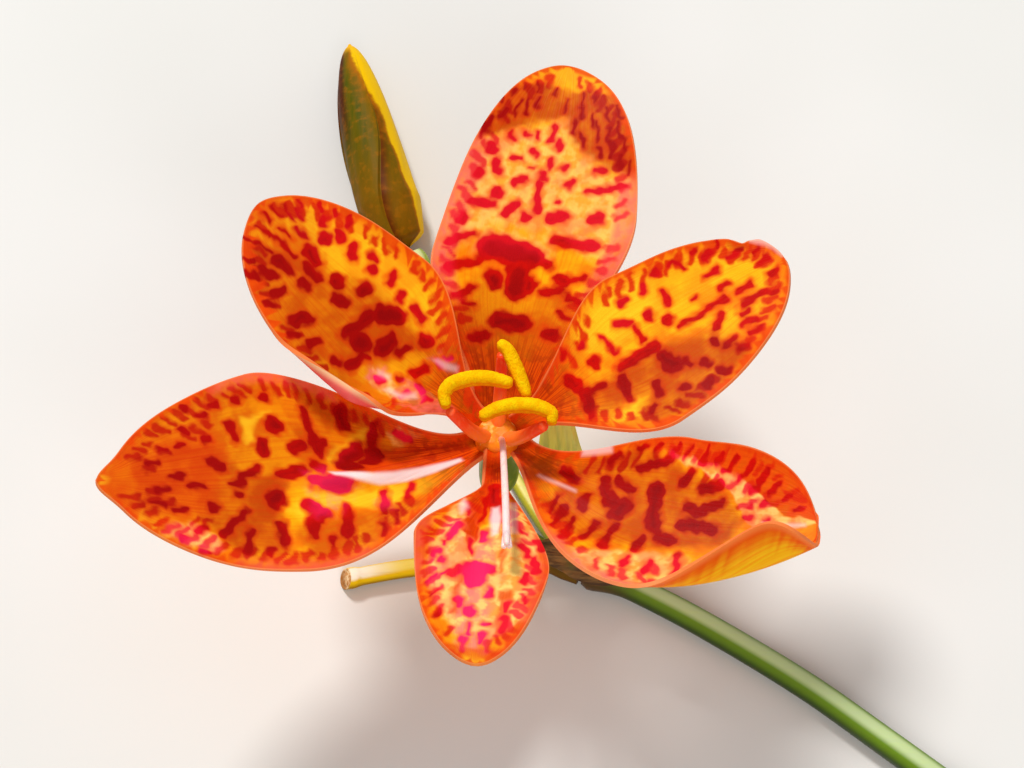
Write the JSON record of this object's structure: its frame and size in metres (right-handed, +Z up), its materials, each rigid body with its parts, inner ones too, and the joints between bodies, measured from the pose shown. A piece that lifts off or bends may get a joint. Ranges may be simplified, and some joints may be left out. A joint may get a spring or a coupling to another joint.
{
  "type": "bramble lily",
  "caption": "Cut bramble lily lying on a surface: open orange spotted bloom facing up, closed bud and spent flower stalk on one green stem.",
  "frame": {"origin": "the small flat spot under the stem's knuckle, where the flower stalks branch, on the surface that the flower lies on", "axes": "+Z up from the surface, along the axis of the open bloom; the stem runs away towards +X and -Y; the bud lies towards +Y"},
  "size_m": [0.0748, 0.076, 0.0279],
  "materials": {
    "outer_tepal": "satin petal, orange with crimson spots",
    "inner_tepal": "satin petal, orange with crimson spots",
    "hub": "satin, pale orange",
    "filament": "satin, coral red",
    "anther": "matt golden pollen",
    "style": "satin, pale pink",
    "ovary": "satin, green",
    "stem": "satin, waxy green",
    "stalk": "satin, yellow green",
    "spent_stalk": "satin, straw yellow",
    "bud": "satin, olive with orange margins",
    "dry_bract": "papery, brown",
    "green_bract": "satin, pale green"
  },
  "bodies": {
    "root": {"stem": "stem", "bloom_stalk": "stalk", "bud_stalk": "stalk", "spent_stalk": "spent_stalk", "bract_dry": "dry_bract", "bract_green": "green_bract", "ovary": "ovary", "hub": "hub", "outer_tepal_top": "outer_tepal", "outer_tepal_right": "outer_tepal", "outer_tepal_left": "outer_tepal", "inner_tepal_right": "inner_tepal", "inner_tepal_bottom": "inner_tepal", "inner_tepal_left": "inner_tepal", "filament_back": "filament", "filament_left": "filament", "filament_right": "filament", "anther_back": "anther", "anther_left": "anther", "anther_right": "anther", "style": "style", "bud_ovary": "ovary", "bud": "bud"}
  },
  "joints": []
}
